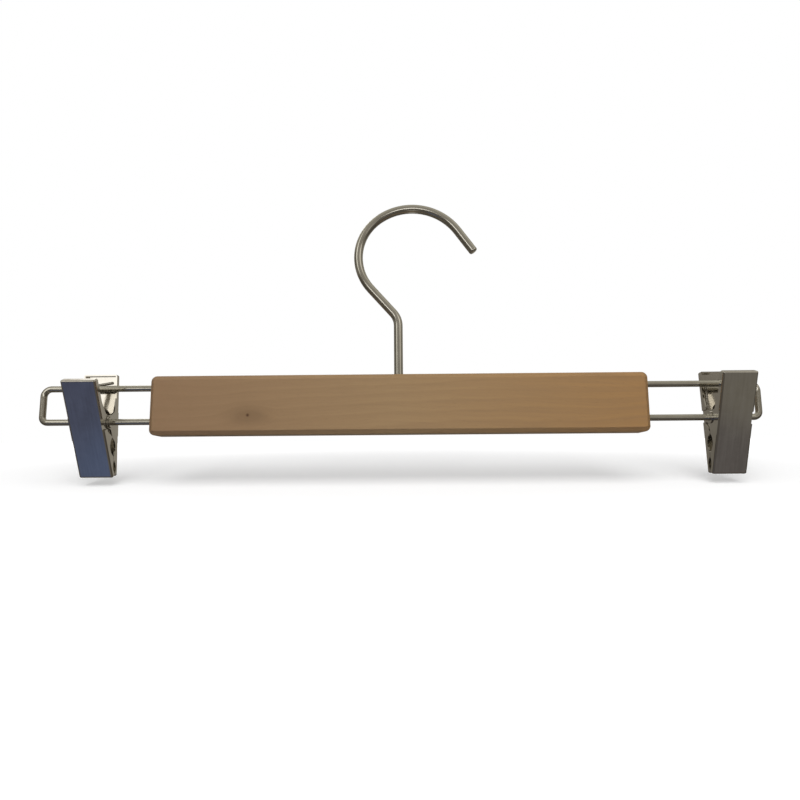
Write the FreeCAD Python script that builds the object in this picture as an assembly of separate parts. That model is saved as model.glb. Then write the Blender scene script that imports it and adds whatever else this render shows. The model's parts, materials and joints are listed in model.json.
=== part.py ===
import FreeCAD
import Part
import math
import os

# Skirt hanger: a wooden bar on a swivelling wire hook, a wire loop in each end of the
# bar, and on each loop a sprung sheet-steel clip that slides along the two rods.
# Lengths are millimetres and angles degrees. X runs along the bar, Y to the back, Z up.
# The origin is the inside of the hook's bend on the swivel axis, where it hangs on a rail.

# Wooden bar
BAR_LENGTH = 218.0
BAR_HEIGHT = 26.2
BAR_THICKNESS = 12.0
BAR_CORNER_RADIUS = 2.6
BAR_BEVEL = 1.8
BAR_EDGE_RADIUS = 0.5

# Wire loops: each is one wire with two rods that are pressed into the end of the bar
ROD_DIAMETER = 2.8
ROD_SPACING = 15.0
ROD_RISE = 0.8
ROD_DEPTH = 45.0
LOOP_REACH = 51.0
LOOP_UPPER_RADIUS = 3.5
LOOP_LOWER_RADIUS = 2.4
PRESSED_CLEARANCE = 0.02
DRILL_EXTRA = 1.0

# Hook: one bent wire, upset to a head below a washer, in a pocket that a plug closes
HOOK_DIAMETER = 4.0
HOOK_SHANK = 22.9
HOOK_LEAN_ANGLE = 41.5
HOOK_LEAN_RADIUS = 9.0
HOOK_SLOPE = 15.3
HOOK_SIDE_RADIUS = 22.6
HOOK_SIDE_ANGLE = 94.5
HOOK_TOP_RADIUS = 26.0
HOOK_TOP_ANGLE = 91.3
HOOK_TAIL = 12.7
HOOK_TIP_ROUND = 0.9
SWIVEL_CLEARANCE = 0.05
SWIVEL_PLAY = 0.1
HEAD_DIAMETER = 5.6
HEAD_HEIGHT = 1.8
WASHER_DIAMETER = 7.0
WASHER_THICKNESS = 1.0
WASHER_CLEARANCE = 0.1
POCKET_DIAMETER = 7.6
POCKET_DEPTH = 5.2
PLUG_HEIGHT = 1.8

# Clips: where each stands on its loop, from the bar's end, and how far it leans forward
LEFT_CLIP_PLACE = 26.3
RIGHT_CLIP_PLACE = 35.5
LEFT_TILT_ANGLE = 15.4
RIGHT_TILT_ANGLE = 8.8

# Jaws: both are the same pressing, seen from opposite sides
CLIP_WIDTH = 15.0
SHEET = 0.6
JAW_OFFSET = 7.1
JAW_TIP_DEPTH = 2.05
HANDLE_LENGTH = 21.7
GRIP_LENGTH = 24.0
JAW_BEND_RADIUS = 0.8
JAW_GAP = 0.24
FLANGE_DEPTH = 2.6
WEB_RISE = 11.0
WEB_KNEE = 4.5
WEB_DEPTH = 4.3
EAR_RADIUS = 3.2
EAR_GAP = 0.15
EAR_ROOT = 5.0
NOTCH_TOP = 4.0
NOTCH_LOW = 1.5
RELIEF_START_SHARE = 0.10
RELIEF_END_SHARE = 0.255
SCALLOP_SPAN_SHARES = ((0.29, 0.625), (0.71, 0.955))
SCALLOP_DEPTH_SHARES = (0.48, 0.38)

# Hinge tube: a hollow rivet through the ears, which runs on the lower rod
TUBE_CLEARANCE = 0.08
TUBE_WALL = 0.45
EAR_CLEARANCE = 0.06
TUBE_RIM_DIAMETER = 5.4
TUBE_RIM_THICKNESS = 0.4
TUBE_END_PLAY = 0.1

# Torsion spring: a coil round the hinge tube, with a leg and a crosswise arm on each jaw
SPRING_WIRE = 1.3
SPRING_SEAT_GAP = 0.15
SPRING_TURNS = 5
SPRING_END_GAP = 0.35
SPRING_LEG = 15.3
SPRING_ARM_BEND = 1.3
SPRING_ARM = 9.6
SPRING_SLANT_ANGLE = 9.0
GAP_STEP = 0.25

# Two places closer than this are the same place
SAME_PLACE = 0.01

half_turn = math.degrees(math.pi)
quarter_turn = half_turn / 2
full_turn = 2 * half_turn
ALONG = FreeCAD.Vector(1, 0, 0)
BACK = FreeCAD.Vector(0, 1, 0)
UP = FreeCAD.Vector(0, 0, 1)
ORIGIN = FreeCAD.Vector()

bar_top = BAR_HEIGHT / 2 - ROD_RISE
bar_bottom = bar_top - BAR_HEIGHT
rod_height = ROD_SPACING / 2
pocket_roof = bar_bottom + POCKET_DEPTH
washer_base = pocket_roof - SWIVEL_PLAY - WASHER_THICKNESS
head_base = washer_base - HEAD_HEIGHT
tube_bore = ROD_DIAMETER / 2 + TUBE_CLEARANCE
tube_radius = tube_bore + TUBE_WALL
jaw_slope = (JAW_OFFSET - JAW_GAP / 2 - JAW_TIP_DEPTH) / GRIP_LENGTH
jaw_lean = math.degrees(math.atan(jaw_slope))
coil_radius = JAW_OFFSET - SHEET - SPRING_SEAT_GAP - SPRING_WIRE / 2
inner_ear_side = CLIP_WIDTH / 2 - SHEET - EAR_GAP
coil_reach = inner_ear_side - SHEET - SPRING_END_GAP - SPRING_WIRE / 2


def turned(vector, axis, angle):
    """The vector turned about the axis by the right-hand rule."""
    return FreeCAD.Rotation(axis, angle).multVec(vector)


def bent_wire(point, heading, axis, runs):
    """Edges of a bent wire, with its last point and heading.

    Each run is a straight length, then a turn about the axis with the radius given.
    """
    edges = []
    for length, turn, radius in runs:
        if length:
            corner = point + heading * length
            edges.append(Part.LineSegment(point, corner).toShape())
            point = corner
        if turn:
            spoke = axis.cross(heading) * -math.copysign(radius, turn)
            centre = point - spoke
            middle = centre + turned(spoke, axis, turn / 2)
            end = centre + turned(spoke, axis, turn)
            edges.append(Part.Arc(point, middle, end).toShape())
            point = end
            heading = turned(heading, axis, turn)
    return edges, point, heading


def round_wire(edges, diameter, heading):
    """A solid round wire along edges whose first one starts in the heading's direction."""
    start = edges[0].valueAt(edges[0].FirstParameter)
    section = Part.Wire(Part.makeCircle(diameter / 2, start, heading))
    return Part.Wire(edges).makePipeShell([section], True, False)


def rod(radius, length, start, heading):
    """A round bar, or the cutter for a round hole."""
    return Part.makeCylinder(radius, length, start, heading)


def extruded(edges, travel):
    """A closed outline of edges, carried along the travel vector."""
    return Part.Face(Part.Wire(edges)).extrude(travel)


def polygon(points):
    """The straight edges of a closed outline."""
    return Part.makePolygon(points + points[:1]).Edges


def hook_path():
    """The hook's centre line, from its head under the bar to its free tip."""
    shank = bar_top - head_base + HOOK_SHANK
    runs = [
        (shank, HOOK_LEAN_ANGLE, HOOK_LEAN_RADIUS),
        (HOOK_SLOPE, -HOOK_SIDE_ANGLE, HOOK_SIDE_RADIUS),
        (0, -HOOK_TOP_ANGLE, HOOK_TOP_RADIUS),
        (HOOK_TAIL, 0, 0),
    ]
    return bent_wire(UP * head_base, UP, -BACK, runs)


def rail_seat_height():
    """Height of the hook's inside over the swivel axis, above the middle of the rods."""
    top_arc = hook_path()[0][-2].Curve
    inside = top_arc.Radius - HOOK_DIAMETER / 2
    return top_arc.Center.z + math.sqrt(inside ** 2 - top_arc.Center.x ** 2)


def hook():
    """The bent wire with its rounded tip and its upset head."""
    edges, tip, _ = hook_path()
    wire = round_wire(edges, HOOK_DIAMETER, UP)
    tip_edges = [edge for edge in wire.Edges if edge.CenterOfMass.isEqual(tip, SAME_PLACE)]
    wire = wire.makeFillet(HOOK_TIP_ROUND, tip_edges)
    head = rod(HEAD_DIAMETER / 2, HEAD_HEIGHT, UP * head_base, UP)
    return wire.fuse(head).removeSplitter()


def hook_washer():
    """The flat ring that carries the bar on the hook's head."""
    disc = rod(WASHER_DIAMETER / 2, WASHER_THICKNESS, UP * washer_base, UP)
    hole = rod(HOOK_DIAMETER / 2 + WASHER_CLEARANCE, WASHER_THICKNESS, UP * washer_base, UP)
    return disc.cut(hole)


def hook_plug():
    """The wooden disc that closes the pocket, flush with the underside."""
    radius = POCKET_DIAMETER / 2 - PRESSED_CLEARANCE
    return rod(radius, PLUG_HEIGHT, UP * bar_bottom, UP)


def bar_outline():
    """The bar's front outline with rounded corners, on the front face."""
    runs = [
        (BAR_LENGTH - 2 * BAR_CORNER_RADIUS, quarter_turn, BAR_CORNER_RADIUS),
        (BAR_HEIGHT - 2 * BAR_CORNER_RADIUS, quarter_turn, BAR_CORNER_RADIUS),
    ]
    corner = FreeCAD.Vector(BAR_CORNER_RADIUS - BAR_LENGTH / 2, -BAR_THICKNESS / 2, bar_bottom)
    return bent_wire(corner, ALONG, -BACK, runs + runs)[0]


def edges_at_depth(solid, depth):
    """Edges of the bar that lie wholly in the plane at this depth."""
    def lies_there(edge):
        box = edge.BoundBox
        return max(abs(box.YMin - depth), abs(box.YMax - depth)) < SAME_PLACE
    return [edge for edge in solid.Edges if lies_there(edge)]


def wooden_bar():
    """The bevelled bar with its drilled holes and the pocket for the hook's head."""
    bar = extruded(bar_outline(), BACK * BAR_THICKNESS)
    face = BAR_THICKNESS / 2
    bar = bar.makeChamfer(BAR_BEVEL, edges_at_depth(bar, -face) + edges_at_depth(bar, face))
    depths = (-face, BAR_BEVEL - face, face - BAR_BEVEL, face)
    soft_edges = [edge for depth in depths for edge in edges_at_depth(bar, depth)]
    bar = bar.makeFillet(BAR_EDGE_RADIUS, soft_edges)
    holes = [
        rod(HOOK_DIAMETER / 2 + SWIVEL_CLEARANCE, BAR_HEIGHT, UP * bar_bottom, UP),
        rod(POCKET_DIAMETER / 2, POCKET_DEPTH, UP * bar_bottom, UP),
    ]
    for side in (-1, 1):
        for height in (-rod_height, rod_height):
            mouth = ALONG * (side * BAR_LENGTH / 2) + UP * height
            radius = ROD_DIAMETER / 2 + PRESSED_CLEARANCE
            holes.append(rod(radius, ROD_DEPTH + DRILL_EXTRA, mouth, ALONG * -side))
    return bar.cut(holes)


def wire_loop(side):
    """The hairpin wire in one end of the bar."""
    length = ROD_DEPTH + LOOP_REACH - ROD_DIAMETER / 2
    across = ROD_SPACING - LOOP_UPPER_RADIUS - LOOP_LOWER_RADIUS
    runs = [
        (length - LOOP_UPPER_RADIUS, -side * quarter_turn, LOOP_UPPER_RADIUS),
        (across, -side * quarter_turn, LOOP_LOWER_RADIUS),
        (length - LOOP_LOWER_RADIUS, 0, 0),
    ]
    start = ALONG * (side * (BAR_LENGTH / 2 - ROD_DEPTH)) + UP * rod_height
    edges = bent_wire(start, ALONG * side, -BACK, runs)[0]
    return round_wire(edges, ROD_DIAMETER, ALONG * side)


def jaw_point(rise, depth, side=-CLIP_WIDTH / 2):
    """A point on a jaw: rise above the pivot, and depth in from the jaw's outer face."""
    return FreeCAD.Vector(side, depth - JAW_OFFSET, rise)


def meeting_depth(rise):
    """Depth at which this jaw stops short of its twin."""
    return JAW_OFFSET + rise * jaw_slope - JAW_GAP / 2


def jaw_outline():
    """Side view of a jaw's flange: deeper towards the pivot, with two scallops at the grip."""
    grip = -GRIP_LENGTH
    relief = RELIEF_END_SHARE * grip
    points = [
        jaw_point(grip, 0),
        jaw_point(HANDLE_LENGTH, 0),
        jaw_point(HANDLE_LENGTH, FLANGE_DEPTH),
        jaw_point(WEB_RISE, FLANGE_DEPTH),
        jaw_point(WEB_KNEE, WEB_DEPTH),
        jaw_point(RELIEF_START_SHARE * grip, FLANGE_DEPTH),
        jaw_point(relief, meeting_depth(relief)),
    ]
    edges = Part.makePolygon(points).Edges
    last = points[-1]
    for (top_share, low_share), depth_share in zip(SCALLOP_SPAN_SHARES, SCALLOP_DEPTH_SHARES):
        rises = [share * grip for share in (top_share, (top_share + low_share) / 2, low_share)]
        depths = [meeting_depth(rise) for rise in rises]
        top = jaw_point(rises[0], depths[0])
        hollow = jaw_point(rises[1], depths[1] * (1 - depth_share))
        low = jaw_point(rises[2], depths[2])
        edges.append(Part.LineSegment(last, top).toShape())
        edges.append(Part.Arc(top, hollow, low).toShape())
        last = low
    end = jaw_point(grip, meeting_depth(grip))
    edges.append(Part.LineSegment(last, end).toShape())
    edges.append(Part.LineSegment(end, points[0]).toShape())
    return edges


def folded_edges(blank):
    """The edges round the jaw's outer face, and the four corners beside it."""
    def is_folded(edge):
        box = edge.BoundBox
        on_face = box.YMax + JAW_OFFSET < SAME_PLACE
        at_end = box.ZMin > HANDLE_LENGTH - SAME_PLACE or box.ZMax < SAME_PLACE - GRIP_LENGTH
        return on_face or (at_end and box.XLength < SAME_PLACE)
    return [edge for edge in blank.Edges if is_folded(edge)]


def ear(side, root_top, root_low):
    """One ear plate: a tapered web from the jaw's plate to a round end at the pivot."""
    corners = [
        root_top,
        jaw_point(EAR_RADIUS, JAW_OFFSET),
        jaw_point(-EAR_RADIUS, JAW_OFFSET),
        root_low,
        jaw_point(root_low.z, SHEET / 2),
        jaw_point(root_top.z, SHEET / 2),
    ]
    corners = [FreeCAD.Vector(side, corner.y, corner.z) for corner in corners]
    web = extruded(polygon(corners), ALONG * SHEET)
    return web.fuse(rod(EAR_RADIUS, SHEET, ALONG * side, ALONG))


def jaw():
    """One pressed jaw, upright in front of its pivot: a tray with an ear on each side.

    The inner ear stands beside the twin's outer ear, and a notch clears its side for that.
    """
    half = CLIP_WIDTH / 2
    blank = extruded(jaw_outline(), ALONG * CLIP_WIDTH)
    blank = blank.makeFillet(JAW_BEND_RADIUS, folded_edges(blank))
    hollow_height = HANDLE_LENGTH + GRIP_LENGTH - 2 * SHEET
    corner = jaw_point(SHEET - GRIP_LENGTH, SHEET, SHEET - half)
    hollow = Part.makeBox(CLIP_WIDTH - 2 * SHEET, 2 * JAW_OFFSET, hollow_height, corner)
    notch_corner = jaw_point(-NOTCH_LOW, 0, inner_ear_side)
    notch = Part.makeBox(CLIP_WIDTH, 2 * JAW_OFFSET, NOTCH_TOP + NOTCH_LOW, notch_corner)
    tray = blank.cut([hollow, notch])
    relief = -RELIEF_END_SHARE * GRIP_LENGTH
    outer_roots = (jaw_point(WEB_KNEE, WEB_DEPTH), jaw_point(relief, meeting_depth(relief)))
    outer_ear = ear(-half, *outer_roots)
    inner_roots = (jaw_point(EAR_ROOT, SHEET), jaw_point(-EAR_ROOT, SHEET))
    inner_ear = ear(inner_ear_side - SHEET, *inner_roots)
    pivot_hole = rod(tube_radius + EAR_CLEARANCE, CLIP_WIDTH, ALONG * -half, ALONG)
    return tray.fuse([outer_ear, inner_ear]).cut(pivot_hole).removeSplitter()


def hinge_tube():
    """The hollow rivet with a rim outside each outer ear."""
    inside = CLIP_WIDTH / 2 + TUBE_END_PLAY
    reach = inside + TUBE_RIM_THICKNESS
    tube = rod(tube_radius, 2 * reach, ALONG * -reach, ALONG)
    rim_radius = TUBE_RIM_DIAMETER / 2
    rims = [rod(rim_radius, TUBE_RIM_THICKNESS, ALONG * side, ALONG) for side in (-reach, inside)]
    bore = rod(tube_bore, 2 * reach, ALONG * -reach, ALONG)
    return tube.fuse(rims).cut(bore).removeSplitter()


def biarc(start, start_heading, end, end_heading):
    """Two arcs that join the points smoothly in the given headings."""
    span = end - start
    push = span.dot(start_heading + end_heading)
    bend = 2 * (start_heading.dot(end_heading) - 1)
    reach = (push - math.sqrt(push ** 2 - bend * span.dot(span))) / bend
    corners = (start + start_heading * reach, end - end_heading * reach)
    joint = (corners[0] + corners[1]) / 2
    arcs = []
    for first, corner, last in ((start, corners[0], joint), (joint, corners[1], end)):
        inward = (first + last) / 2 - corner
        half_chord = (last - first).Length / 2
        middle = corner + inward * (reach / (reach + half_chord))
        arcs.append(Part.Arc(first, middle, last).toShape())
    return arcs


def coil_edges():
    """The spring's turns, from the foot of the front leg to the foot of the rear leg."""
    sweep = half_turn - 2 * jaw_lean + full_turn * SPRING_TURNS
    steps = round(sweep / quarter_turn)
    lead = -2 * coil_reach / math.radians(sweep)
    stations = []
    for step in range(steps + 1):
        angle = half_turn + jaw_lean + sweep * step / steps
        side = coil_reach - 2 * coil_reach * step / steps
        place = turned(BACK, ALONG, angle) * coil_radius + ALONG * side
        heading = turned(UP, ALONG, angle) * coil_radius
        if 0 < step < steps:
            heading = heading + ALONG * lead
        stations.append((place, heading.normalize()))
    edges = []
    for here, there in zip(stations, stations[1:]):
        edges.extend(biarc(*here, *there))
    return edges


def spring_path():
    """The spring's centre line, from the front arm's end to the rear arm's end."""
    turn = quarter_turn - SPRING_SLANT_ANGLE
    leg_heading = turned(UP, ALONG, -jaw_lean)
    axis = leg_heading.cross(ALONG)
    foot = turned(BACK, ALONG, -jaw_lean) * coil_radius - ALONG * coil_reach
    rear_runs = [(SPRING_LEG, turn, SPRING_ARM_BEND), (SPRING_ARM, 0, 0)]
    rear, end, heading = bent_wire(foot, leg_heading, axis, rear_runs)
    end, heading, axis = [turned(vector, UP, half_turn) for vector in (end, heading, axis)]
    front_runs = [(SPRING_ARM, -turn, SPRING_ARM_BEND), (SPRING_LEG, 0, 0)]
    front = bent_wire(end, -heading, axis, front_runs)[0]
    return front + coil_edges() + rear, -heading


def self_gap(edges):
    """Least clear gap between two stretches of the spring's wire, measured on points."""
    points = []
    for edge in edges:
        points.extend(edge.discretize(Distance=GAP_STEP)[:-1])
    apart = round(math.pi * SPRING_WIRE / GAP_STEP)
    gaps = [
        points[late].distanceToPoint(points[early])
        for early in range(len(points))
        for late in range(early + apart, len(points))
    ]
    return min(gaps) - SPRING_WIRE


def spring():
    """The torsion spring as one unbroken wire."""
    edges, heading = spring_path()
    print("spring: least gap to itself", round(self_gap(edges), 3))
    return round_wire(edges, SPRING_WIRE, heading)


def clip(name, place, tilt):
    """The four pieces of one clip, leaning forward on the lower rod at this place."""
    front = jaw().rotated(ORIGIN, ALONG, jaw_lean)
    pieces = {
        "front_jaw": front,
        "rear_jaw": front.rotated(ORIGIN, UP, half_turn),
        "spring": spring(),
        "hinge_tube": hinge_tube(),
    }
    pivot = ALONG * place - UP * rod_height
    print(name, "clip pivot", place, 0, -rod_height - rail_seat_height())
    return {
        name + "_" + piece: shape.rotated(ORIGIN, ALONG, tilt).translated(pivot)
        for piece, shape in pieces.items()
    }


def hanger():
    """Every node of the hanger by name, with the middle of the rods at height zero."""
    nodes = {
        "wooden_bar": wooden_bar(),
        "hook": hook(),
        "hook_washer": hook_washer(),
        "hook_plug": hook_plug(),
        "left_wire_loop": wire_loop(-1),
        "right_wire_loop": wire_loop(1),
    }
    nodes.update(clip("left", -BAR_LENGTH / 2 - LEFT_CLIP_PLACE, LEFT_TILT_ANGLE))
    nodes.update(clip("right", BAR_LENGTH / 2 + RIGHT_CLIP_PLACE, RIGHT_TILT_ANGLE))
    return nodes


os.makedirs("parts", exist_ok=True)
seat = UP * rail_seat_height()
print("rods below the rail seat", seat.z)
for node, shape in hanger().items():
    shape = shape.translated(-seat)
    shape.exportStep(os.path.join("parts", node + ".step"))
    box = shape.BoundBox
    print(node, len(shape.Solids), "solid", shape.isValid(), round(shape.Volume, 2),
          [round(value, 2) for value in (box.XMin, box.YMin, box.ZMin, box.XMax, box.YMax, box.ZMax)])
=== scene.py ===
# %% [markdown]
# A skirt hanger: a lacquered wooden bar on a wire hook, with a wire loop in each end of the
# bar and a sprung clip on each loop. The imported CAD model is the fixed frame of the scene.
# Its rigid pieces already have the right shape, so they stay, and Blender gives them their
# finish. The frame comes first.

# %% Load the frame
import json
import math

import bmesh
import bpy
from mathutils import Matrix, Vector


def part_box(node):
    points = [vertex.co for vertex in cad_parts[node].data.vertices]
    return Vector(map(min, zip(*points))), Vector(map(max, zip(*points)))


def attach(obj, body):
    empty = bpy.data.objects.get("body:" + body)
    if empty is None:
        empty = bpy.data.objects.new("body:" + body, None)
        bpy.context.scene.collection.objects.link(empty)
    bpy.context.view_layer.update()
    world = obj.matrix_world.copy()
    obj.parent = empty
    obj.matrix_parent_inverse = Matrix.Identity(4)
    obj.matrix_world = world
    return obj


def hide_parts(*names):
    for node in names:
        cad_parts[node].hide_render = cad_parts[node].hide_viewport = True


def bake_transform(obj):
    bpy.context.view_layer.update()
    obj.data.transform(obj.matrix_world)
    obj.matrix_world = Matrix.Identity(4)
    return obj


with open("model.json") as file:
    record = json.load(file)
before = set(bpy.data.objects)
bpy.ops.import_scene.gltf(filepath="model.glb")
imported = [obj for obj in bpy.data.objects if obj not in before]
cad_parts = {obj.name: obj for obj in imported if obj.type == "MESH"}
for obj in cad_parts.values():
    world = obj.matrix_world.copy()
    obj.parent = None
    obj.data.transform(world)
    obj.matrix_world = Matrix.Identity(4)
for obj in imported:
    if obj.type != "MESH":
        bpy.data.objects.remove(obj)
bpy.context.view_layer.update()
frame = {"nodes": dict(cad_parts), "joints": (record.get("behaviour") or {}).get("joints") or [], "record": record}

MM = 0.001

# %% [markdown]
# Colours are written as sRGB hex codes, as in any paint program. Blender's shaders
# work in linear light, so one function does that change for the whole file.

# %% Colours


def linear(code):
    """A linear RGBA colour from an sRGB hex code such as 8A7055."""
    shares = [int(code[start:start + 2], 16) / 255 for start in (0, 2, 4)]
    curve = [share / 12.92 if share <= 0.04045 else ((share + 0.055) / 1.055) ** 2.4
             for share in shares]
    return (*curve, 1.0)


print("mid grey 808080 is", round(linear("808080")[0], 3), "in linear light")

# %% [markdown]
# A material is a small graph of nodes. Building one takes three things over and over: a node,
# its settings and its links. One function does all three: an input that is given a socket
# gets a link, and any other value is set on the input itself. A colour ramp also takes its
# stops, each a place from 0 to 1 with a hex code. Patterns are scaled by real sizes, so a
# second helper turns sizes into a scale.

# %% One function for nodes


def add(tree, kind, inputs=None, stops=(), **settings):
    """A new shader node with its settings, and with its inputs set or linked."""
    made = tree.nodes.new("ShaderNode" + kind)
    for position, _ in stops[1:-1]:
        made.color_ramp.elements.new(position)
    for number, (position, code) in enumerate(stops):
        made.color_ramp.elements[number].position = position
        made.color_ramp.elements[number].color = linear(code)
    for name, value in settings.items():
        setattr(made, name, value)
    for name, value in (inputs or {}).items():
        if isinstance(value, bpy.types.NodeSocket):
            tree.links.new(value, made.inputs[name])
        else:
            made.inputs[name].default_value = value
    return made


def new_material(name):
    """An empty material: its node tree and its output node."""
    made = bpy.data.materials.new(name)
    made.use_nodes = True
    made.node_tree.nodes.clear()
    return made, made.node_tree, add(made.node_tree, "OutputMaterial")


def per(*sizes):
    """The pattern scale that gives these sizes along X, Y and Z."""
    return tuple(1 / size for size in sizes)


print("a pattern of 2, 4 and 8 mm has scale", per(2.0, 4.0, 8.0))

# %% [markdown]
# The bar is a pale hardwood, planed, sanded and sprayed with a clear satin lacquer. The eye
# sees a warm tan with faint streaks along the bar, a slow drift of tone from end to end and
# one pin knot. A picture of wood would stretch round the bevels, so the grain is a solid
# pattern instead: growth rings round a far axis, which give streaks on the front and arcs on
# the ends, as in a real plank. Sizes in this material are in millimetres. The knot goes right
# through the plank, so only the way across the front, X and Z, counts as away from it.

# %% Wood: where a point lies in the plank
KNOT = Vector((-65.6, 0.0, -93.5))
KNOT_REACH = Vector((17.0, 60.0, 7.5))
ACROSS_FRONT = (1.0, 0.0, 1.0)
hardwood, tree, output = new_material("Maple_planed_satin_lacquer")
place = add(tree, "TexCoord").outputs["Object"]
in_mm = add(tree, "VectorMath", {0: place, "Scale": 1 / MM}, operation="SCALE").outputs[0]
from_knot = add(tree, "VectorMath", {0: in_mm, 1: KNOT}, operation="SUBTRACT").outputs[0]
knot_steps = add(tree, "VectorMath", {0: from_knot, 1: KNOT_REACH}, operation="DIVIDE").outputs[0]
knot_flat = add(tree, "VectorMath", {0: knot_steps, 1: ACROSS_FRONT}, operation="MULTIPLY").outputs[0]
knot_away = add(tree, "VectorMath", {0: knot_flat}, operation="LENGTH").outputs["Value"]
knot_halo = add(tree, "MapRange", {"Value": knot_away, "From Min": 1.0, "From Max": 0.0},
                interpolation_type="SMOOTHERSTEP").outputs["Result"]
print("pin knot at", [round(value, 1) for value in KNOT], "mm")

# %% [markdown]
# Real grain wanders. A slow noise, about one wave in 80 mm of length, bends the rings, and
# near the knot the rings spread to flow round it. What is left is the distance from the rings'
# axis, counted in rings: its fraction runs from one ring's early wood to its dark late wood.

# %% Wood: wandering growth rings
RING_WIDTH = 3.4
RING_AXIS = (0.0, -26.0, 128.0)
GRAIN_SLANT = math.radians(2.4)
WANDER = 11.0
WANDER_RATES = (1 / 80.0, 0.02, 0.03)
KNOT_SPREAD = 0.8
slow = add(tree, "Mapping", {"Vector": in_mm, "Scale": WANDER_RATES}).outputs[0]
waves = add(tree, "TexNoise", {"Vector": slow, "Scale": 1.0, "Detail": 2.0,
                               "Roughness": 0.45}).outputs["Color"]
centred = add(tree, "VectorMath", {0: waves, 1: (0.5, 0.5, 0.5)}, operation="SUBTRACT").outputs[0]
shift = add(tree, "VectorMath", {0: centred, "Scale": WANDER}, operation="SCALE").outputs[0]
spread = add(tree, "Math", {0: knot_halo, 1: KNOT_SPREAD}, operation="MULTIPLY").outputs[0]
round_knot = add(tree, "VectorMath", {0: from_knot, "Scale": spread}, operation="SCALE").outputs[0]
wavy = add(tree, "VectorMath", {0: in_mm, 1: shift}, operation="ADD").outputs[0]
bent = add(tree, "VectorMath", {0: wavy, 1: round_knot}, operation="SUBTRACT").outputs[0]
around = add(tree, "Mapping", {"Vector": bent, "Location": RING_AXIS,
                               "Rotation": (0.0, GRAIN_SLANT, 0.0)}).outputs[0]
across = add(tree, "VectorMath", {0: around, 1: (0.0, 1.0, 1.0)}, operation="MULTIPLY").outputs[0]
radius = add(tree, "VectorMath", {0: across}, operation="LENGTH").outputs["Value"]
ring_count = add(tree, "Math", {0: radius, 1: RING_WIDTH}, operation="DIVIDE").outputs[0]
ring = add(tree, "Math", {0: ring_count}, operation="FRACT").outputs[0]
late_wood = add(tree, "ValToRGB", {"Fac": ring},
                ((0.0, "606060"), (0.78, "FFFFFF"), (1.0, "606060"))).outputs["Color"]
print("growth rings", RING_WIDTH, "mm wide, bent by up to", WANDER / 2, "mm")

# %% [markdown]
# Between the rings run the fibres: thin streaks about a millimetre wide and several
# centimetres long, and short dark pores. They are barely darker than the wood around them,
# but without them lacquered wood looks like plastic.

# %% Wood: fibres, pores and tone
FIBRE = (38.0, 0.9, 0.9)
PORE = (2.6, 0.28, 0.28)
fibre_place = add(tree, "Mapping", {"Vector": bent, "Scale": per(*FIBRE)}).outputs[0]
fibres = add(tree, "TexNoise", {"Vector": fibre_place, "Scale": 1.0, "Detail": 4.0,
                                "Roughness": 0.6}).outputs["Fac"]
pore_place = add(tree, "Mapping", {"Vector": bent, "Scale": per(*PORE)}).outputs[0]
pores = add(tree, "TexNoise", {"Vector": pore_place, "Scale": 1.0, "Detail": 2.0}).outputs["Fac"]
pore = add(tree, "MapRange", {"Value": pores, "From Min": 0.60, "From Max": 0.74}).outputs["Result"]
along = add(tree, "SeparateXYZ", {0: in_mm}).outputs["X"]
half_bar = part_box("wooden_bar")[1].x / MM
end_to_end = add(tree, "MapRange", {"Value": along, "From Min": -half_bar,
                                    "From Max": half_bar}).outputs["Result"]
tone = add(tree, "ValToRGB", {"Fac": end_to_end},
           ((0.0, "876A4D"), (0.5, "967A55"), (1.0, "9A7446"))).outputs["Color"]
print("tone drifts over", round(2 * half_bar), "mm, fibres of", FIBRE[:2], "and pores of", PORE[:2], "mm")

# %% [markdown]
# The layers go over the tone one by one, like thin glazes: rings, fibres, pores, the knot's
# halo and the knot itself. Each has a darker brown and the share of it that shows.

# %% Wood: put the layers together
RING_SHARE = 0.30
FIBRE_SHARE = 0.30
PORE_SHARE = 0.16
HALO_SHARE = 0.55
CORE_EDGE = 0.9
CORE_FULL = 0.3
ring_share = add(tree, "Math", {0: late_wood, 1: RING_SHARE}, operation="MULTIPLY").outputs[0]
rings_on = add(tree, "Mix", {0: ring_share, 6: tone, 7: linear("7D6143")},
               data_type="RGBA").outputs[2]
fibre_share = add(tree, "MapRange", {"Value": fibres, "From Min": 0.42, "From Max": 0.72,
                                     "To Max": FIBRE_SHARE}).outputs["Result"]
fibres_on = add(tree, "Mix", {0: fibre_share, 6: rings_on, 7: linear("80664A")},
                data_type="RGBA").outputs[2]
pore_share = add(tree, "Math", {0: pore, 1: PORE_SHARE}, operation="MULTIPLY").outputs[0]
pores_on = add(tree, "Mix", {0: pore_share, 6: fibres_on, 7: linear("5C452E")},
               data_type="RGBA").outputs[2]
halo_share = add(tree, "Math", {0: knot_halo, 1: HALO_SHARE}, operation="MULTIPLY").outputs[0]
halo_on = add(tree, "Mix", {0: halo_share, 6: pores_on, 7: linear("6E553A")},
              data_type="RGBA").outputs[2]
knot_core = add(tree, "VectorMath", {0: from_knot, 1: ACROSS_FRONT}, operation="MULTIPLY").outputs[0]
core_away = add(tree, "VectorMath", {0: knot_core}, operation="LENGTH").outputs["Value"]
core = add(tree, "MapRange", {"Value": core_away, "From Min": CORE_EDGE,
                              "From Max": CORE_FULL}).outputs["Result"]
wood_colour = add(tree, "Mix", {0: core, 6: halo_on, 7: linear("45290F")},
                  data_type="RGBA").outputs[2]
print("five layers over the tone, the knot's core", 2 * CORE_EDGE, "mm across")

# %% [markdown]
# The lacquer is what catches the light: a thin clear coat, a little rough, over wood whose
# pores still show as tiny dents.

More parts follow.
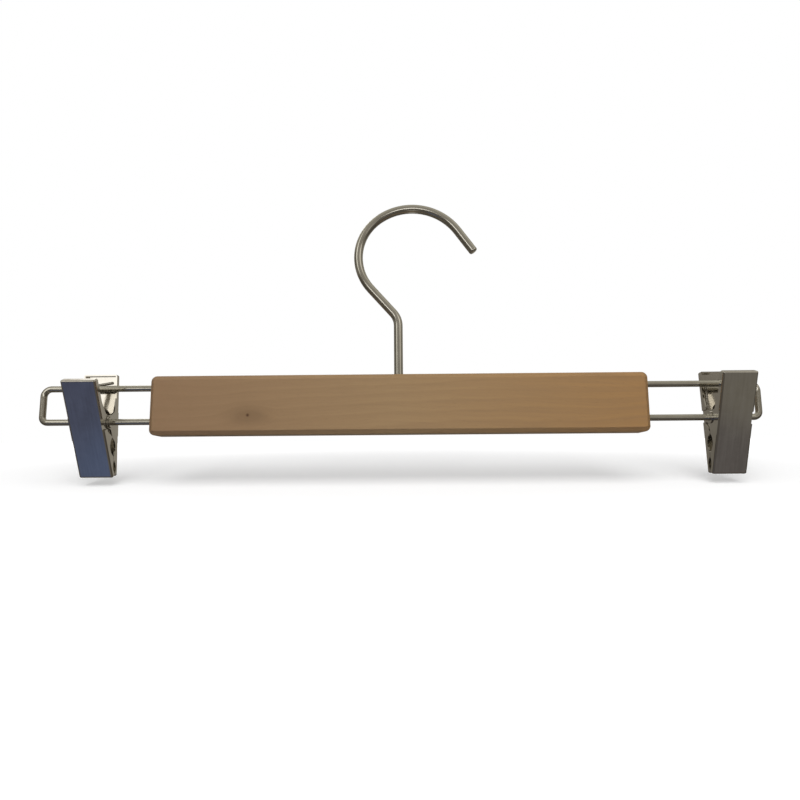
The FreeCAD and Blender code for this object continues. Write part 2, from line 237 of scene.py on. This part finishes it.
# %% Wood: the lacquer
dents = add(tree, "Math", {0: pore, 1: fibres, 2: 0.5}, operation="MULTIPLY_ADD").outputs[0]
relief = add(tree, "Bump", {"Height": dents, "Strength": 0.12, "Distance": 0.05 * MM},
             invert=True).outputs[0]
gloss = add(tree, "MapRange", {"Value": fibres, "To Min": 0.46, "To Max": 0.58}).outputs["Result"]
shader = add(tree, "BsdfPrincipled", {"Base Color": wood_colour, "Roughness": gloss, "Normal": relief,
                                      "Coat Weight": 0.25, "Coat Roughness": 0.32})
tree.links.new(shader.outputs[0], output.inputs[0])
print("material", hardwood.name, "with", len(tree.nodes), "nodes")

# %% [markdown]
# The hook and the loops are drawn steel wire with a nickel plate. Drawing leaves the surface
# satin, with hairlines along the wire, and the plate gives it a slightly warm grey. A metal
# has no colour of its own apart from its reflections, so its roughness does most of the work.
# Each wire is bent in one upright plane, so a noise that changes with depth alone runs along
# the wire round every bend. Real drawing lines are finer than a pixel, so these are coarser.

# %% Satin wire
HAIRLINE = (60 * MM, 0.4 * MM, 60 * MM)
CLOUD = 6 * MM
satin_wire, tree, output = new_material("Nickel_plated_drawn_wire")
place = add(tree, "TexCoord").outputs["Object"]
hairlines = add(tree, "Mapping", {"Vector": place, "Scale": per(*HAIRLINE)}).outputs[0]
lines = add(tree, "TexNoise", {"Vector": hairlines, "Scale": 1.0, "Detail": 2.0}).outputs["Fac"]
clouds = add(tree, "TexNoise", {"Vector": place, "Scale": 1 / CLOUD, "Detail": 3.0}).outputs["Fac"]
dull = add(tree, "Math", {0: lines, 1: clouds}, operation="ADD").outputs[0]
gloss = add(tree, "MapRange", {"Value": dull, "From Min": 0.6, "From Max": 1.4,
                               "To Min": 0.09, "To Max": 0.16}).outputs["Result"]
tint = add(tree, "ValToRGB", {"Fac": clouds}, ((0.3, "CDCABF"), (0.7, "DAD7CD"))).outputs["Color"]
relief = add(tree, "Bump", {"Height": lines, "Strength": 0.05, "Distance": 0.03 * MM}).outputs[0]
shader = add(tree, "BsdfPrincipled", {"Base Color": tint, "Metallic": 1.0, "Roughness": gloss,
                                      "Normal": relief})
tree.links.new(shader.outputs[0], output.inputs[0])
print("material", satin_wire.name, "with", len(tree.nodes), "nodes")

# %% [markdown]
# The jaws are pressed from sheet steel and plated bright, so they mirror what stands round
# them, a little blurred. Rolling leaves faint streaks along the sheet, and handling leaves
# cloudy patches where the mirror is duller.

# %% Bright plate
ROLLED = (1.1 * MM, 14 * MM, 14 * MM)
SMUDGE = 7 * MM
bright_plate, tree, output = new_material("Nickel_plated_pressed_sheet_steel")
place = add(tree, "TexCoord").outputs["Object"]
rolled = add(tree, "Mapping", {"Vector": place, "Scale": per(*ROLLED)}).outputs[0]
streaks = add(tree, "TexNoise", {"Vector": rolled, "Scale": 1.0, "Detail": 3.0}).outputs["Fac"]
smudges = add(tree, "TexNoise", {"Vector": place, "Scale": 1 / SMUDGE, "Detail": 4.0,
                                 "Roughness": 0.6}).outputs["Fac"]
dull = add(tree, "Math", {0: streaks, 1: smudges}, operation="ADD").outputs[0]
gloss = add(tree, "MapRange", {"Value": dull, "From Min": 0.7, "From Max": 1.35,
                               "To Min": 0.05, "To Max": 0.13}).outputs["Result"]
patchy = add(tree, "MapRange", {"Value": dull, "From Min": 0.75, "From Max": 1.25}).outputs["Result"]
tint = add(tree, "ValToRGB", {"Fac": patchy}, ((0.0, "CAC6BE"), (1.0, "DAD7D0"))).outputs["Color"]
relief = add(tree, "Bump", {"Height": dull, "Strength": 0.05, "Distance": 0.02 * MM}).outputs[0]
shader = add(tree, "BsdfPrincipled", {"Base Color": tint, "Metallic": 1.0, "Roughness": gloss,
                                      "Normal": relief})
tree.links.new(shader.outputs[0], output.inputs[0])
print("material", bright_plate.name, "with", len(tree.nodes), "nodes")

# %% [markdown]
# The springs are wound from hard-drawn steel wire, darker than the plate because it is only
# oiled. The washer under the bar is zinc plated: a dull, slightly blue grey.

# %% Spring wire and washer zinc
OIL_FILM = 1.2 * MM
SPANGLE = 0.8 * MM
spring_steel, tree, output = new_material("Hard_drawn_oiled_spring_steel")
place = add(tree, "TexCoord").outputs["Object"]
oil = add(tree, "TexNoise", {"Vector": place, "Scale": 1 / OIL_FILM, "Detail": 4.0}).outputs["Fac"]
tint = add(tree, "ValToRGB", {"Fac": oil}, ((0.3, "9A968E"), (0.7, "C4C0B8"))).outputs["Color"]
gloss = add(tree, "MapRange", {"Value": oil, "To Min": 0.18, "To Max": 0.32}).outputs["Result"]
shader = add(tree, "BsdfPrincipled", {"Base Color": tint, "Metallic": 1.0, "Roughness": gloss})
tree.links.new(shader.outputs[0], output.inputs[0])

zinc, tree, output = new_material("Zinc_plated_washer_steel")
place = add(tree, "TexCoord").outputs["Object"]
spangle = add(tree, "TexVoronoi", {"Vector": place, "Scale": 1 / SPANGLE}).outputs["Distance"]
tint = add(tree, "ValToRGB", {"Fac": spangle}, ((0.0, "A9ABAE"), (1.0, "C2C4C6"))).outputs["Color"]
gloss = add(tree, "MapRange", {"Value": spangle, "To Min": 0.36, "To Max": 0.5}).outputs["Result"]
shader = add(tree, "BsdfPrincipled", {"Base Color": tint, "Metallic": 1.0, "Roughness": gloss})
tree.links.new(shader.outputs[0], output.inputs[0])
print("materials", spring_steel.name, "and", zinc.name)

# %% [markdown]
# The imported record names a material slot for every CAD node. A table from slot to finish
# dresses them all in one loop.

# %% Dress the CAD nodes
finishes = {
    "lacquered_wood": hardwood,
    "hook_wire": satin_wire,
    "loop_wire": satin_wire,
    "clip_plating": bright_plate,
    "rivet_plating": bright_plate,
    "spring_wire": spring_steel,
    "washer_steel": zinc,
}
for subpart in frame["record"]["subparts"]:
    mesh = frame["nodes"][subpart["node"]].data
    mesh.materials.clear()
    mesh.materials.append(finishes[subpart["material_slot"]])
print("dressed", len(frame["nodes"]), "CAD nodes")

# %% [markdown]
# Each clip has a torsion spring: a coil round the hinge tube, and at each end a leg that runs
# up the inside of a jaw and turns crosswise into an arm. When the jaws open, the legs go with
# the jaws and the coil winds up. A rigid spring couldn't do that, so it is made here of four
# lengths of one wire: two legs, each riding on its jaw, and two half coils, which stay where
# they are placed. All four follow one formula, so they meet end to end.

# %% Spring wire as a swept circle
WIRE = 0.65 * MM


def wire_piece(name, points, radii):
    """A round wire along the points, as a mesh that is open at both ends."""
    curve = bpy.data.curves.new(name, "CURVE")
    curve.dimensions = "3D"
    curve.bevel_depth = WIRE
    curve.bevel_resolution = 4
    line = curve.splines.new("POLY")
    line.points.add(len(points) - 1)
    for place, point, radius in zip(line.points, points, radii):
        place.co = (*point, 1.0)
        place.radius = radius
    guide = bpy.data.objects.new(name, curve)
    mesh = bpy.data.meshes.new_from_object(guide)
    mesh.name = name
    mesh.shade_smooth()
    mesh.materials.append(spring_steel)
    bpy.data.objects.remove(guide)
    piece = bpy.data.objects.new(name, mesh)
    bpy.context.scene.collection.objects.link(piece)
    return piece


print("spring wire", 2 * WIRE / MM, "mm thick")

# %% [markdown]
# In the clip's own frame, before it leans forward, the coil is a helix along X. The front leg
# stands on one end of it and the rear leg on the other, each leaning out with its jaw, and
# half a turn about the upright axis swaps the two.

# %% Coil in the clip's own frame
COIL_RADIUS = 5.7 * MM
COIL_REACH = 5.15 * MM
COIL_TURNS = 5
TURN_STEPS = 24
JAW_OFFSET = 7.1 * MM
JAW_GAP = 0.24 * MM
JAW_TIP_DEPTH = 2.05 * MM
GRIP_LENGTH = 24.0 * MM
JAW_LEAN = math.atan((JAW_OFFSET - JAW_GAP / 2 - JAW_TIP_DEPTH) / GRIP_LENGTH)


def coil_point(share):
    """A point of the helix, from the front leg's foot at 0 to the rear leg's foot at 1."""
    sweep = math.pi - 2 * JAW_LEAN + 2 * math.pi * COIL_TURNS
    angle = math.pi + JAW_LEAN + sweep * share
    across = COIL_REACH * (1 - 2 * share)
    return Vector((across, COIL_RADIUS * math.cos(angle), COIL_RADIUS * math.sin(angle)))


half_steps = TURN_STEPS * (COIL_TURNS + 1) // 2
half_shares = [0.5 * step / half_steps for step in range(half_steps + 1)]
coil_halves = {
    "front": [coil_point(share) for share in half_shares],
    "rear": [coil_point(1 - share) for share in half_shares],
}
print("half coil of", half_steps + 1, "points, jaws lean", round(math.degrees(JAW_LEAN), 1), "degrees")

# %% [markdown]
# A leg is a straight stretch up the jaw, a tight bend and a straight arm across it. At the
# arm's tip the wire gets thinner over the last few points, which closes it with a round end.

# %% Leg in the clip's own frame
LEG = 15.3 * MM
ARM_BEND = 1.3 * MM
ARM_TURN = math.radians(81)
ARM = 9.6 * MM
LEG_STEPS = 24
TIP_SHARES = (0.5, 0.25, 0.1, 0.0)
TIP_RADII = [0.95, 0.8, 0.55, 0.02]


def leg_points():
    """The rear leg from its foot on the coil, round the bend and along the crosswise arm."""
    up = Vector((0, math.sin(JAW_LEAN), math.cos(JAW_LEAN)))
    side = Vector((1, 0, 0))
    foot = coil_point(1.0)
    bend = foot + up * LEG + side * ARM_BEND
    points = [foot + up * (LEG * step / LEG_STEPS) for step in range(LEG_STEPS)]
    for step in range(LEG_STEPS + 1):
        angle = ARM_TURN * step / LEG_STEPS
        points.append(bend - side * (ARM_BEND * math.cos(angle)) + up * (ARM_BEND * math.sin(angle)))
    heading = side * math.sin(ARM_TURN) + up * math.cos(ARM_TURN)
    start = points[-1]
    points += [start + heading * (ARM * step / LEG_STEPS) for step in range(1, LEG_STEPS)]
    tip = start + heading * ARM
    points += [tip - heading * (WIRE * share) for share in TIP_SHARES]
    return points


leg = leg_points()
leg_radii = [1.0] * (len(leg) - len(TIP_RADII)) + TIP_RADII
print("leg of", len(leg), "points")

# %% [markdown]
# The lines are placed in both clips. Each clip's pivot comes from its packed joint, and its
# lean from the direction of its packed grip, so the springs stand where the CAD has them. The
# half coils stay fixed in the scene. The jaws' mirrors look past the springs: light needs many
# bounces to get past the coil, a render stops after a few, and the hollow jaws would turn black.

# %% Place both springs
grips = {mount["name"]: Vector(mount["axis"]) for mount in frame["record"]["mounts"]}
pivots = {joint["name"]: Vector(joint["pos_m"]) for joint in frame["joints"] if "pos_m" in joint}
turns = {"rear": Matrix.Identity(4), "front": Matrix.Rotation(math.pi, 4, "Z")}
for side in ("left", "right"):
    pivot = pivots[side + "_clip_tilt"]
    grip = grips[side + "_clip_grip"]
    lean = math.atan2(grip.y, -grip.z)
    stand = Matrix.Translation(pivot) @ Matrix.Rotation(lean, 4, "X")
    pieces = []
    for end, outward in (("front", 1), ("rear", -1)):
        jaw = side + "_" + end + "_jaw"
        line = [stand @ turns[end] @ point for point in leg]
        leg_piece = wire_piece(f"{side}_spring_{end}_leg", line, leg_radii)
        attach(leg_piece, jaw)
        line = [stand @ point for point in coil_halves[end]]
        coil_piece = wire_piece(f"{side}_spring_{end}_coil", line, [1.0] * len(line))
        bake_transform(coil_piece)
        pieces += [leg_piece, coil_piece]
    for piece in pieces:
        piece.visible_glossy = False
        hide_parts(side + "_spring")
    print(side, "spring leans", round(math.degrees(lean), 1), "degrees, in", len(pieces), "pieces")

# %% [markdown]
# The stage is a sheet of pale paper that rises gently to the back, as in a product studio,
# so that the soft shadow under the hanger shows behind it. It ends a little way behind the
# hanger, so that a clip doesn't sink into the slope when the bar turns on its hook.

# %% Paper floor
PAPER_RISE = 0.25
PAPER_HEIGHT = -125.3 * MM
PAPER_SIDE = 3.0
PAPER_FRONT = -1.5
PAPER_END = 115 * MM
outline = ((-PAPER_SIDE, PAPER_FRONT), (PAPER_SIDE, PAPER_FRONT),
           (PAPER_SIDE, PAPER_END), (-PAPER_SIDE, PAPER_END))
corners = [(x, y, PAPER_HEIGHT + PAPER_RISE * y) for x, y in outline]
paper_mesh = bpy.data.meshes.new("paper")
paper_mesh.from_pydata(corners, [], [(0, 1, 2, 3)])
paper = bpy.data.objects.new("paper", paper_mesh)
bpy.context.scene.collection.objects.link(paper)
paper.visible_glossy = False

# %% [markdown]
# The paper is matt. To the camera it also glows: a little round the shadow, where lamp and
# glow together are just white, and fully further away, where the lamp gives less, so that it
# fades into the white background. The glow lights nothing: Light Path tells which rays see it.

# %% Paper material
PAPER_GLOW = 0.42
SHADOW_MIDDLE = (0.0, 27 * MM, 0.0)
FADE_RATES = (1 / 0.5, 1 / 0.12, 0.0)
FADE_START = 0.3


def seen_rays(tree):
    """1 for a ray from the camera, a reflection or a clear piece, and 0 for other rays."""
    rays = add(tree, "LightPath").outputs
    seen = add(tree, "Math", {0: rays["Is Camera Ray"], 1: rays["Is Glossy Ray"]},
               operation="MAXIMUM").outputs[0]
    return add(tree, "Math", {0: seen, 1: rays["Is Transmission Ray"]}, operation="MAXIMUM").outputs[0]


white_paper, tree, output = new_material("White_paper")
place = add(tree, "TexCoord").outputs["Object"]
from_shadow = add(tree, "VectorMath", {0: place, 1: SHADOW_MIDDLE}, operation="SUBTRACT").outputs[0]
stretched = add(tree, "VectorMath", {0: from_shadow, 1: FADE_RATES}, operation="MULTIPLY").outputs[0]
away = add(tree, "VectorMath", {0: stretched}, operation="LENGTH").outputs["Value"]
fade = add(tree, "MapRange", {"Value": away, "From Min": FADE_START, "From Max": 1.0,
                              "To Min": PAPER_GLOW, "To Max": 1.0},
           interpolation_type="SMOOTHSTEP").outputs["Result"]
glow = add(tree, "Math", {0: seen_rays(tree), 1: fade}, operation="MULTIPLY").outputs[0]
matt = add(tree, "BsdfDiffuse", {"Color": linear("D1D1D1")}).outputs[0]
light = add(tree, "Emission", {"Strength": glow}).outputs[0]
both = add(tree, "AddShader", {0: matt, 1: light}).outputs[0]
tree.links.new(both, output.inputs[0])
paper_mesh.materials.append(white_paper)
print("material", white_paper.name, "with", len(tree.nodes), "nodes")

# %% [markdown]
# Bright metal shows nothing but the room round it, so it needs a room. This one is a large
# ball that reflections alone see: it throws no shadow, takes no light and never shows in the
# picture. Its paint gets lighter with height. On it lie soft oval patches: each has the
# direction of its middle, 0, 0 being the front and azimuth growing to the right, its half
# width and half height in degrees, the share of it that is full, and a colour with a strength.

# %% Patches on the room's wall
patches = (
    (0, 30, 32, 42, 0.3, "96918A", 1.0),
    (0, -58, 16, 22, 0.5, "8A857D", 1.0),
    (180, -60, 16, 30, 0.5, "9A958D", 1.0),
    (-180, -60, 16, 30, 0.5, "9A958D", 1.0),
    (-96, 20, 22, 16, 0.5, "4A4741", 1.0),
    (-88, -18, 36, 22, 0.6, "4E4A44", 1.0),
    (92, -22, 36, 22, 0.6, "4E4A44", 1.0),
    (-38, -39, 11, 10, 0.6, "535970", 1.0),
    (-38, -48, 11, 8, 0.5, "5A6684", 1.0),
    (34, -31, 13, 12, 0.6, "656160", 1.0),
    (36, -27.5, 11, 4.5, 0.3, "77736B", 1.0),
    (30, -2, 14, 11, 0.4, "B6B1A8", 1.0),
    (48, 24, 19, 20, 0.5, "CCC7BE", 1.5),
    (70, 54, 18, 15, 0.4, "C8C4BA", 1.0),
    (-41, 24, 12, 22, 0.5, "F0EEE6", 1.5),
    (2, -1, 13, 6, 0.5, "FFFDF8", 2.2),
    (-24, 0, 10, 7, 0.6, "FFFDF8", 1.6),
    (152, 6, 18, 14, 0.5, "9A958B", 1.0),
    (144, 37, 11, 8, 0.5, "D8D4CA", 1.0),
    (-144, 36, 10, 6, 0.5, "E0DAD0", 1.0),
    (-145, 47, 10, 11, 0.7, "FFFDF8", 2.2),
)
print(len(patches), "patches")

# %% [markdown]
# In the room's paint, the direction from the room's middle is turned into azimuth and
# elevation, and each patch is mixed over the walls by how near its middle that direction is.

# %% Room paint
room_paint, tree, output = new_material("Room_paint")
place = add(tree, "TexCoord").outputs["Object"]
facing = add(tree, "VectorMath", {0: place}, operation="NORMALIZE").outputs[0]
parts = add(tree, "SeparateXYZ", {0: facing}).outputs
level = add(tree, "MapRange", {"Value": parts["Z"], "From Min": -1.0, "From Max": 1.0}).outputs["Result"]
walls = add(tree, "ValToRGB", {"Fac": level},
            ((0.0, "58534D"), (0.2, "55504A"), (0.38, "68635C"),
             (0.5, "77726A"), (0.7, "908B81"), (1.0, "B2AEA3"))).outputs["Color"]
front = add(tree, "Math", {0: parts["Y"], 1: -1.0}, operation="MULTIPLY").outputs[0]
azimuth = add(tree, "Math", {0: parts["X"], 1: front}, operation="ARCTAN2").outputs[0]
elevation = add(tree, "Math", {0: parts["Z"]}, operation="ARCSINE").outputs[0]
bearing = add(tree, "CombineXYZ", {"X": azimuth, "Y": elevation}).outputs[0]
for middle_x, middle_y, wide, tall, full, code, strength in patches:
    scale = (math.degrees(1) / wide, math.degrees(1) / tall, 1.0)
    middle = (-middle_x / wide, -middle_y / tall, 0.0)
    oval = add(tree, "Mapping", {"Vector": bearing, "Scale": scale, "Location": middle}).outputs[0]
    away = add(tree, "VectorMath", {0: oval}, operation="LENGTH").outputs["Value"]
    share = add(tree, "MapRange", {"Value": away, "From Min": 1.0, "From Max": full},
                interpolation_type="SMOOTHSTEP").outputs["Result"]
    colour = [channel * strength for channel in linear(code)]
    walls = add(tree, "Mix", {0: share, 6: walls, 7: colour}, data_type="RGBA").outputs[2]
light = add(tree, "Emission", {"Color": walls}).outputs[0]
tree.links.new(light, output.inputs[0])
print("material", room_paint.name, "with", len(tree.nodes), "nodes")

# %% [markdown]
# The ball is far larger than the hanger, so that both clips see each patch in nearly the same
# direction. Its visibility settings keep it to reflections.

# %% Room
ROOM_RADIUS = 20.0
ROOM_MIDDLE = (0, 0, -90 * MM)
room_mesh = bpy.data.meshes.new("mirror_room")
shell = bmesh.new()
bmesh.ops.create_uvsphere(shell, u_segments=64, v_segments=32, radius=ROOM_RADIUS)
shell.to_mesh(room_mesh)
shell.free()
room_mesh.materials.append(room_paint)
room = bpy.data.objects.new("mirror_room", room_mesh)
room.location = ROOM_MIDDLE
for kind in ("camera", "diffuse", "transmission", "volume_scatter", "shadow"):
    setattr(room, "visible_" + kind, False)
bpy.context.scene.collection.objects.link(room)
print("room of", ROOM_RADIUS, "m radius, seen in reflections only")

# %% [markdown]
# The light is plain and soft: an even white world, and one large lamp in front and above. The
# world is white to the camera and in reflections, and lights the object at a lower level, so
# that a colour renders about as it is written. The lamp leaves reflections to the room.

# %% World and lamp
WORLD_LEVEL = 0.20
LAMP_SIZE = 0.9
LAMP_POWER = 9.3
LAMP_PLACE = (0.0, -0.66, 0.53)
LAMP_TARGET = Vector((0, 0, -0.09))
world = bpy.data.worlds.new("white_room")
world.use_nodes = True
tree = world.node_tree
tree.nodes.clear()
level = add(tree, "MapRange", {"Value": seen_rays(tree), "To Min": WORLD_LEVEL,
                               "To Max": 1.0}).outputs["Result"]
sky = add(tree, "Background", {"Color": linear("FFFFFF"), "Strength": level}).outputs[0]
add(tree, "OutputWorld", {"Surface": sky})
bpy.context.scene.world = world

lamp_data = bpy.data.lights.new("soft_box", "AREA")
lamp_data.shape = "RECTANGLE"
lamp_data.size = LAMP_SIZE
lamp_data.size_y = LAMP_SIZE
lamp_data.energy = LAMP_POWER
lamp = bpy.data.objects.new("soft_box", lamp_data)
lamp.location = LAMP_PLACE
lamp.visible_glossy = False
aim = LAMP_TARGET - lamp.location
lamp.rotation_euler = aim.to_track_quat("-Z", "Y").to_euler()
bpy.context.scene.collection.objects.link(lamp)
print("soft box", round(aim.length, 2), "m away")

# %% [markdown]
# The camera stands close in front of the bar and a little below it, looking up by 8 degrees.
# That close view is why the ends of the bar lean and the clips show their inner sides. Its
# place was worked out from the bar's edges and the rods in the picture of the hanger.

# %% Camera
PITCH = math.radians(8)
YAW = math.radians(0.47)
ROLL = math.radians(-0.43)
CAMERA_PLACE = (2.7 * MM, -263.1 * MM, -123.6 * MM)
camera_data = bpy.data.cameras.new("camera")
camera_data.lens = 26.91
camera_data.sensor_width = 36.0
camera_data.clip_start = 0.01
camera = bpy.data.objects.new("camera", camera_data)
pan = Matrix.Rotation(YAW, 4, "Z")
tilt = Matrix.Rotation(math.pi / 2 + PITCH, 4, "X")
roll = Matrix.Rotation(ROLL, 4, "Z")
camera.matrix_world = Matrix.Translation(CAMERA_PLACE) @ pan @ tilt @ roll
bpy.context.scene.collection.objects.link(camera)
bpy.context.scene.camera = camera
bpy.context.scene.view_settings.view_transform = "Standard"
print("camera looks up by", round(math.degrees(PITCH), 1), "degrees")
